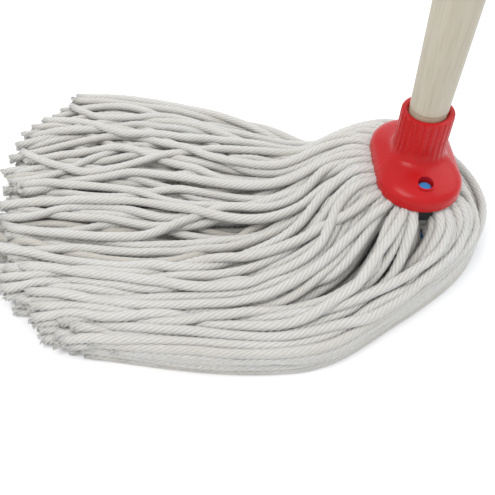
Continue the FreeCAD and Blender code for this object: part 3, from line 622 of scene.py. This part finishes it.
def push_apart(beads, owner, gap):
    """Moves that part any two beads of different strands that are nearer than gap."""
    cell = np.floor(beads / gap).astype(np.int64)
    cell -= cell.min(axis=0) - 1
    span = cell.max(axis=0) + 2
    key = (cell[:, 0] * span[1] + cell[:, 1]) * span[2] + cell[:, 2]
    order = np.argsort(key, kind="stable")
    ranked = key[order]
    moves = np.zeros_like(beads)
    for x, y, z in HALF_NEIGHBOURS:
        wanted = key + (x * span[1] + y) * span[2] + z
        first = np.searchsorted(ranked, wanted, "left")
        last = np.searchsorted(ranked, wanted, "right")
        for k in range(int((last - first).max())):
            one = np.nonzero(first + k < last)[0]
            other = order[first[one] + k]
            keep = owner[one] != owner[other]
            if (x, y, z) == (0, 0, 0):
                keep &= one < other
            one, other = one[keep], other[keep]
            apart = beads[one] - beads[other]
            distance = np.maximum(np.linalg.norm(apart, axis=1), 1e-6)
            near = distance < gap
            one, other = one[near], other[near]
            push = apart[near] * (0.5 * (gap - distance[near]) / distance[near])[:, None]
            for axis in range(3):
                moves[:, axis] += np.bincount(one, push[:, axis], len(beads))
                moves[:, axis] -= np.bincount(other, push[:, axis], len(beads))
    return moves


def seam_line(across, start, end, count):
    """Points of one seam seen from above, between two places along it."""
    return on_seams(seam_table(), np.full(count, float(across)), np.linspace(start, end, count))[:, :2]


def settle(lines):
    """Lets the strands push each other apart, lie on the floor and keep their length and smoothness."""
    count, beads = lines.shape[:2]
    home = lines.copy()
    owner = np.repeat(np.arange(count), beads)
    rest = np.linalg.norm(np.diff(lines, axis=1), axis=2, keepdims=True)
    radius = STRAND_DIAMETER / 2
    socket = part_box("socket_shell")
    edge_line = seam_line(len(SEAMS) - 1, 2.5, 10.0, 40)
    parting = seam_line(TAPE_SEAM, 0.6, 4.0, 24)
    for _ in range(SETTLING_STEPS):
        lines += (home - lines) * HOME_PULL
        moves = push_apart(lines.reshape(-1, 3), owner, STRAND_DIAMETER)
        lines += moves.reshape(lines.shape) * PUSH_SHARE
        middle = (lines[:, :-2] + lines[:, 2:]) / 2
        lines[:, 1:-1] += (middle - lines[:, 1:-1]) * SMOOTHING
        for pair in (0, 1):
            a, b = lines[:, pair:-1:2], lines[:, pair + 1::2]
            edge = b - a
            size = np.maximum(np.linalg.norm(edge, axis=2, keepdims=True), 1e-6)
            fix = edge * (0.5 * (size - rest[:, pair::2]) / size)
            lines[:, pair:-1:2] += fix
            lines[:, pair + 1::2] -= fix
        lines[..., 2] = np.maximum(lines[..., 2], radius)
        stay_inside(lines, edge_line, radius)
        part_at_tape(lines, parting)
        keep_clear(lines, socket, radius)
        lines[:, :2] = home[:, :2]
    return lines


def stay_inside(lines, edge_line, radius):
    """Keeps the strands from being pushed out past the front seam."""
    flat = lines[..., :2].reshape(-1, 2)
    start, run = edge_line[:-1], np.diff(edge_line, axis=0)
    along = ((flat[:, None] - start) * run).sum(axis=2) / (run ** 2).sum(axis=1)
    nearest = start + run * np.clip(along, 0, 1)[..., None]
    away = flat[:, None] - nearest
    distance = np.linalg.norm(away, axis=2)
    pick = distance.argmin(axis=1)
    rows = np.arange(len(flat))
    side = run[pick, 0] * away[rows, pick, 1] - run[pick, 1] * away[rows, pick, 0]
    height = lines[..., 2].reshape(-1)
    beyond = np.where(side > 0, distance[rows, pick], -distance[rows, pick]) + radius
    low_and_out = (beyond > 0) & (height < FENCE_TOP)
    beyond = np.where(low_and_out, np.minimum(beyond, FENCE_REACH), 0.0)
    normal = np.column_stack([run[pick, 1], -run[pick, 0]]) / np.linalg.norm(run[pick], axis=1)[:, None]
    lines[..., :2] += (normal * (beyond * 0.5)[:, None]).reshape(lines.shape[0], -1, 2)


def part_at_tape(lines, parting):
    """Holds the strands apart at the tape's front end, and less and less along the parting."""
    outward = np.argsort(-parting[:, 1])
    middle = np.interp(-lines[..., 1], -parting[outward, 1], parting[outward, 0])
    half = np.interp(-lines[..., 1], PARTING_FRONT, PARTING_HALF)
    away = lines[..., 0] - middle
    half = np.where(lines[..., 2] > PARTING_FLOOR, half, 0)
    lines[..., 0] += np.where(away < 0, -1, 1) * np.maximum(half - np.abs(away), 0) * PARTING_SHARE


def keep_clear(lines, socket, radius):
    """Holds the strands outside the clamp plate and under or outside the socket."""
    low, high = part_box("clamp_plate")
    plate = (low[2], low[2] + PLATE_THICKNESS, high)
    for bottom, top, half in (plate, (socket[0][2], socket[1][2], socket[1])):
        reach = half[1] - half[0]
        nearest = np.clip(lines[..., 1], -reach, reach)
        dx, dy = lines[..., 0], lines[..., 1] - nearest
        away = np.maximum(np.hypot(dx, dy), 1e-6)
        level = (lines[..., 2] > bottom - radius) & (lines[..., 2] < top + radius)
        inside = (away < half[0] + radius) & level
        scale = np.where(inside, (half[0] + radius) / away, 1.0)
        scale = 1.0 + (scale - 1.0) * CLEAR_SHARE
        lines[..., 0] = dx * scale
        lines[..., 1] = nearest + dy * scale


def spline_points(lines, every=BEADS_PER_POINT):
    """The lines' points as NURBS routes, read back as the smooth lines that they make."""
    curve = bpy.data.curves.new("strand_routes", "CURVE")
    curve.dimensions = "3D"
    curve.resolution_u = 8
    for line in lines:
        route = line[::every]
        spline = curve.splines.new("NURBS")
        spline.points.add(len(route) - 1)
        for point, place in zip(spline.points, route):
            point.co = (*place, 1.0)
        spline.order_u = 3
        spline.use_endpoint_u = True
    holder = bpy.data.objects.new("strand_routes", curve)
    mesh = bpy.data.meshes.new_from_object(holder)
    places = np.empty(len(mesh.vertices) * 3)
    mesh.vertices.foreach_get("co", places)
    bpy.data.objects.remove(holder)
    bpy.data.meshes.remove(mesh)
    return places.reshape(len(lines), -1, 3)


# ---------------------------------------------------------------- yarn: the strands' meshes
PLIES = 7
RING = 14                                     # corners of a ring: a groove and a crest for each ply
RING_SPACING = 1.6 * MM
GROOVE_DEPTH, SHOULDER = 0.82, 1.07           # radii, as shares of the strand's
FRAY_LENGTH = 11 * MM
FRAY_SINK, FRAY_SPREAD = 0.42, 0.16           # how the plies part at a frayed end, in radii
RAGGED = (-2.2, 1.6)                          # how far a ply's end falls short or stands out, mm
PITCH = (-34.0, -26.0)                        # a turn of the twist, mm
THICKNESS, THICKNESS_WAVE = (0.93, 1.06), (0.05, 0.021)   # range; size and length (m) of its waves
TURN_WAVE, TURN_WAVE_LENGTHS = 0.5, (0.03, 0.06)
CAP_GROOVE, UV_STEP = 0.6, 0.031              # a cap's groove share, which sets how much painted groove shade it gets; the strands' UVs are set apart


def along_frames(points):
    """Tangents and a pair of square directions that don't spin, along every line of points."""
    tangent = np.gradient(points, axis=1)
    tangent /= np.linalg.norm(tangent, axis=2, keepdims=True)
    side = np.empty_like(points)
    first = np.cross(tangent[:, 0], [0.0, 0.0, 1.0])
    first = np.where(np.linalg.norm(first, axis=1, keepdims=True) < 1e-3, [1.0, 0.0, 0.0], first)
    side[:, 0] = first
    for k in range(1, points.shape[1]):
        side[:, k] = side[:, k - 1]
        side[:, k] -= tangent[:, k] * (side[:, k] * tangent[:, k]).sum(axis=1, keepdims=True)
        side[:, k] /= np.linalg.norm(side[:, k], axis=1, keepdims=True)
    return tangent, side, np.cross(tangent, side)


def strand_meshes(points, rng):
    """Twisted strands on lines of points: corners (strands, rings, RING, 3), groove shares, lengths."""
    count = len(points)
    each = (count, 1)
    tangent, side, up = along_frames(points)
    steps = np.linalg.norm(np.diff(points, axis=1), axis=2)
    run = np.concatenate([np.zeros(each), np.cumsum(steps, axis=1)], 1)
    whole = run[:, -1:]
    pitch = rng.uniform(*PITCH, each) * MM
    turn = rng.uniform(0, FULL_TURN, each) + run / pitch * 2 * math.pi
    wave = run / rng.uniform(*TURN_WAVE_LENGTHS, each)
    turn = turn + TURN_WAVE * np.sin(wave + rng.uniform(0, FULL_TURN, each))
    thick = rng.uniform(*THICKNESS, each)
    size, length = THICKNESS_WAVE
    thick = thick + size * np.sin(run / length + rng.uniform(0, FULL_TURN, each))
    frayed = np.clip((run - whole + FRAY_LENGTH) / FRAY_LENGTH, 0, 1)
    corner = np.arange(RING)
    in_groove = (corner % 2 == 0).astype(float)
    radius = np.where(in_groove, GROOVE_DEPTH - FRAY_SINK * frayed[..., None] ** 2,
                      SHOULDER + FRAY_SPREAD * frayed[..., None])
    radius = radius * thick[..., None] * STRAND_DIAMETER / 2
    angle = corner / RING * 2 * math.pi + turn[..., None]
    corners = (points[:, :, None] + side[:, :, None] * (np.cos(angle) * radius)[..., None]
               + up[:, :, None] * (np.sin(angle) * radius)[..., None])
    ragged = np.repeat(rng.uniform(*RAGGED, (count, PLIES)) * MM, RING // PLIES, axis=1)
    corners += tangent[:, :, None] * (frayed[..., None] ** 3 * ragged[:, None, :])[..., None]
    return corners, in_groove, run


def strands_object(name, corners, in_groove, run, tones):
    """One object of several strands, with its twist's UVs and the attributes that its material reads."""
    count, rings = corners.shape[:2]
    body = corners.reshape(count, rings * RING, 3)
    caps = corners[:, [0, -1]].mean(axis=2)
    vertices = np.concatenate([body, caps], axis=1)
    per = rings * RING + 2
    ring, corner = np.meshgrid(np.arange(rings - 1), np.arange(RING), indexing="ij")
    ahead = (corner + 1) % RING
    quads = np.stack([ring * RING + corner, ring * RING + ahead, (ring + 1) * RING + ahead,
                      (ring + 1) * RING + corner], axis=-1).reshape(-1, 4)
    c = np.arange(RING)
    end = (rings - 1) * RING
    start_cap = np.stack([(c + 1) % RING, c, np.full(RING, per - 2)], axis=-1)
    end_cap = np.stack([end + c, end + (c + 1) % RING, np.full(RING, per - 1)], axis=-1)
    one = np.concatenate([quads.reshape(-1), start_cap.reshape(-1), end_cap.reshape(-1)])
    loops = (one[None] + np.arange(count)[:, None] * per).reshape(-1)
    sizes = np.tile(np.concatenate([np.full(len(quads), 4), np.full(2 * RING, 3)]), count)
    mesh = bpy.data.meshes.new(name)
    mesh.vertices.add(count * per)
    mesh.vertices.foreach_set("co", vertices.reshape(-1))
    mesh.loops.add(len(loops))
    mesh.loops.foreach_set("vertex_index", loops)
    mesh.polygons.add(len(sizes))
    mesh.polygons.foreach_set("loop_start", np.concatenate([[0], np.cumsum(sizes)[:-1]]))
    mesh.polygons.foreach_set("loop_total", sizes)
    mesh.update(calc_edges=True)
    mesh.polygons.foreach_set("use_smooth", np.ones(len(sizes), dtype=bool))
    # groove shares for each corner, which the material turns into painted shade
    groove = np.concatenate([np.tile(in_groove, rings), [CAP_GROOVE, CAP_GROOVE]])
    for label, values in (("groove", np.tile(groove, count)), ("tone", np.repeat(tones, per))):
        mesh.attributes.new(label, "FLOAT", "POINT").data.foreach_set("value", values)
    lap = STRAND_DIAMETER * math.pi / RING
    u = np.concatenate([np.repeat(run, RING, axis=1), run[:, :1], run[:, -1:]], axis=1).reshape(-1)[loops]
    v = np.tile(np.concatenate([np.tile(c * lap, rings), [0.0, 0.0]]), count)[loops]
    last_column = (ahead == 0)[..., None] & np.array([False, True, True, False])
    wraps = np.concatenate([last_column.reshape(-1), np.zeros(6 * RING, dtype=bool)])
    v = v + np.tile(wraps, count) * RING * lap + np.repeat(np.arange(count) * UV_STEP, len(one))
    mesh.uv_layers.new(name="along").data.foreach_set("uv", np.stack([u, v], 1).reshape(-1))
    piece = bpy.data.objects.new(name, mesh)
    bpy.context.collection.objects.link(piece)
    return piece


# ---------------------------------------------------------------- yarn: its pieces
DECLARED_STRANDS = 38
TONE, TONE_SPREAD, LAYER_SHADE_STEP = 0.62, 0.2, 0.12   # the top layer's tone, and the painted shade by which each layer below is darkened
# the clamped and folded strands' tone is lower than the top layer's: painted shade for strands under the
# socket and the plate
BUNDLE_SHADED_TONE, BUNDLE_TONE_SPREAD = 0.5, 0.15
CORE_ROWS, CORE_COLUMNS, CORE_BEADS = 4, 11, 13
CORE_STEPS, CORE_PULL, CORE_PUSH = 40, 0.04, 0.5
CORE_WANDER, CORE_INSET = 0.5 * MM, 0.4 * MM
UNDER_LAYERS, UNDER_BEADS, PASS_BEADS = 5, 120, 7
LENGTH_PASSES, CROSS_PASSES = 5, 9
FOLD_ROOM = 5 * MM                            # room that a fold needs at the end of a pass
PASS_SPAN, UNDER_WANDER, UNDER_LENGTH = 0.98, 0.3 * MM, 260 * MM


def make_yarn(material):
    """All free strands: those on top are pieces of their own, and the rest are one piece for each lock."""
    rng = np.random.default_rng(SEED)
    lines, places, layers = draft_strands(rng)
    lines = settle(lines)
    smooth = spline_points(lines)
    longest = np.linalg.norm(np.diff(smooth, axis=1), axis=2).sum(axis=1).max()
    points = np.array([spaced(line, int(longest / RING_SPACING)) for line in smooth])
    corners, in_groove, run = strand_meshes(points, rng)
    top_layer = len(LAYER_HEIGHTS) - 1
    # painted shade: each layer below the top is darkened for the shade that the strands above it cast
    tones = rng.normal(TONE, TONE_SPREAD, len(lines)) - LAYER_SHADE_STEP * (top_layer - layers)
    tones = np.clip(tones, 0.05, 1.0)
    top = np.nonzero(layers == top_layer)[0]
    spread = np.linspace(0, len(top) - len(STRAYS) - 1, DECLARED_STRANDS - len(STRAYS)).astype(int)
    chosen = np.concatenate([top[spread], top[-len(STRAYS):]])
    for number, index in enumerate(chosen, start=1):
        piece = strands_object(f"yarn_strand_{number:02d}", corners[[index]], in_groove,
                               run[[index]], tones[[index]])
        finish_piece(piece, material, "head")
    rest = np.setdiff1d(np.arange(len(lines)), chosen)
    seams = len(SEAMS) - 1
    for lock in range(seams):
        mine = rest[np.clip(places[rest].astype(int), 0, seams - 1) == lock]
        piece = strands_object(f"yarn_lock_{lock + 1:02d}", corners[mine], in_groove,
                               run[mine], tones[mine])
        finish_piece(piece, material, "head")
        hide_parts(f"yarn_lock_lower_{lock + 1:02d}", f"yarn_lock_upper_{lock + 1:02d}")


def make_core(material):
    """The clamped middle of the yarn: strands that cross the plate side by side and bend round the pegs."""
    rng = np.random.default_rng(SEED + 1)
    low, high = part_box("yarn_core")
    peg_y = PEG_SPACING / 2
    clear = PEG_DIAMETER / 2 + STRAND_DIAMETER / 2
    inset = STRAND_DIAMETER / 2 * SHOULDER
    reach = high[1] - high[0]
    lines = []
    for z in np.linspace(low[2] + inset, high[2] - inset, CORE_ROWS):
        for y in np.linspace(low[1] + 2 * inset, high[1] - 2 * inset, CORE_COLUMNS):
            half = math.sqrt(high[0] ** 2 - max(0.0, abs(y) - reach) ** 2) - CORE_INSET
            x = np.linspace(-half, half, CORE_BEADS)
            wander = rng.normal(0, CORE_WANDER, CORE_BEADS)
            lines.append(np.column_stack([x, y + wander, np.full(CORE_BEADS, z)]))
    lines = np.array(lines)
    home = lines.copy()
    owner = np.repeat(np.arange(len(lines)), CORE_BEADS)
    for _ in range(CORE_STEPS):
        lines += (home - lines) * CORE_PULL
        moves = push_apart(lines.reshape(-1, 3), owner, STRAND_DIAMETER)
        lines += moves.reshape(lines.shape) * CORE_PUSH
        for side in (-1, 1):
            off = lines[..., 1] - side * peg_y
            room = np.sqrt(np.maximum(clear ** 2 - lines[..., 0] ** 2, 0))
            lines[..., 1] = side * peg_y + np.where(off < 0, -1, 1) * np.maximum(np.abs(off), room)
        lines[..., 0] = home[..., 0]
        lines[..., 2] = np.clip(lines[..., 2], low[2] + inset, high[2] - inset)
        lines[..., 1] = np.clip(lines[..., 1], low[1] + inset, high[1] - inset)
    smooth = spline_points(lines, 1)
    points = np.array([spaced(line, int(2 * high[0] / RING_SPACING)) for line in smooth])
    make_bundle("yarn_middle", points, rng, material, "yarn_core")


def make_under(material):
    """The strands folded to and fro between the clamp plate and the floor, in crossed layers."""
    rng = np.random.default_rng(SEED + 2)
    low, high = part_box("yarn_under")
    radius = STRAND_DIAMETER / 2 * SHOULDER
    reach = high[1] - high[0]
    lines = []
    for layer, z in enumerate(np.linspace(low[2] + radius, high[2] - radius, UNDER_LAYERS)):
        lengthways = layer % 2 == 0
        limit = (high[0] if lengthways else high[1]) - radius
        passes = LENGTH_PASSES if lengthways else CROSS_PASSES
        route = []
        for number, place in enumerate(np.linspace(-limit * PASS_SPAN, limit * PASS_SPAN, passes)):
            if lengthways:
                half = reach + math.sqrt(max(high[0] ** 2 - (abs(place) + radius) ** 2, 0)) - FOLD_ROOM
            else:
                half = math.sqrt(high[0] ** 2 - max(0.0, abs(place) + radius - reach) ** 2) - FOLD_ROOM
            half = max(half, 1 * MM)
            run = np.linspace(-half, half, PASS_BEADS) * (1 if number % 2 == 0 else -1)
            wander = np.concatenate([[0.0], rng.normal(0, UNDER_WANDER, PASS_BEADS - 2), [0.0]])
            for along, off in zip(run, wander):
                route.append((place + off, along, z) if lengthways else (along, place + off, z))
        lines.append(spaced(np.array(route), UNDER_BEADS))
    smooth = spline_points(np.array(lines), 1)
    points = np.array([spaced(line, int(UNDER_LENGTH / RING_SPACING)) for line in smooth])
    make_bundle("yarn_folds", points, rng, material, "yarn_under")


def make_bundle(name, points, rng, material, node):
    """One piece of strands along these points, in place of a CAD node."""
    corners, in_groove, run = strand_meshes(points, rng)
    # painted shade: the hidden strands get a lower tone than the top layer
    tones = np.clip(rng.normal(BUNDLE_SHADED_TONE, BUNDLE_TONE_SPREAD, len(points)), 0.05, 1.0)
    piece = strands_object(name, corners, in_groove, run, tones)
    finish_piece(piece, material, "head")
    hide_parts(node)


def finish_piece(piece, material, body):
    """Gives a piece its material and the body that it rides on."""
    piece.data.materials.append(material)
    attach(piece, body)


def paint_node(name, material):
    """Gives a carried-over node its material in every slot."""
    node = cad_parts[name]
    if not node.material_slots:
        node.data.materials.append(material)
    for place in node.material_slots:
        place.material = material


make_camera()
make_studio()
cotton = cotton_material()
make_yarn(cotton)
paint_node("pole", wood_material())
make_core(cotton)
make_under(cotton)
make_socket(plastic_material("red_plastic", (0.47, 0.009, 0.010), (0.42, 0.007, 0.009), 0.22))
paint_node("clamp_plate", plastic_material("blue_plastic", (0.045, 0.24, 0.53), (0.04, 0.20, 0.47), 0.3))
paint_node("centre_tape", shadow_tape_material())
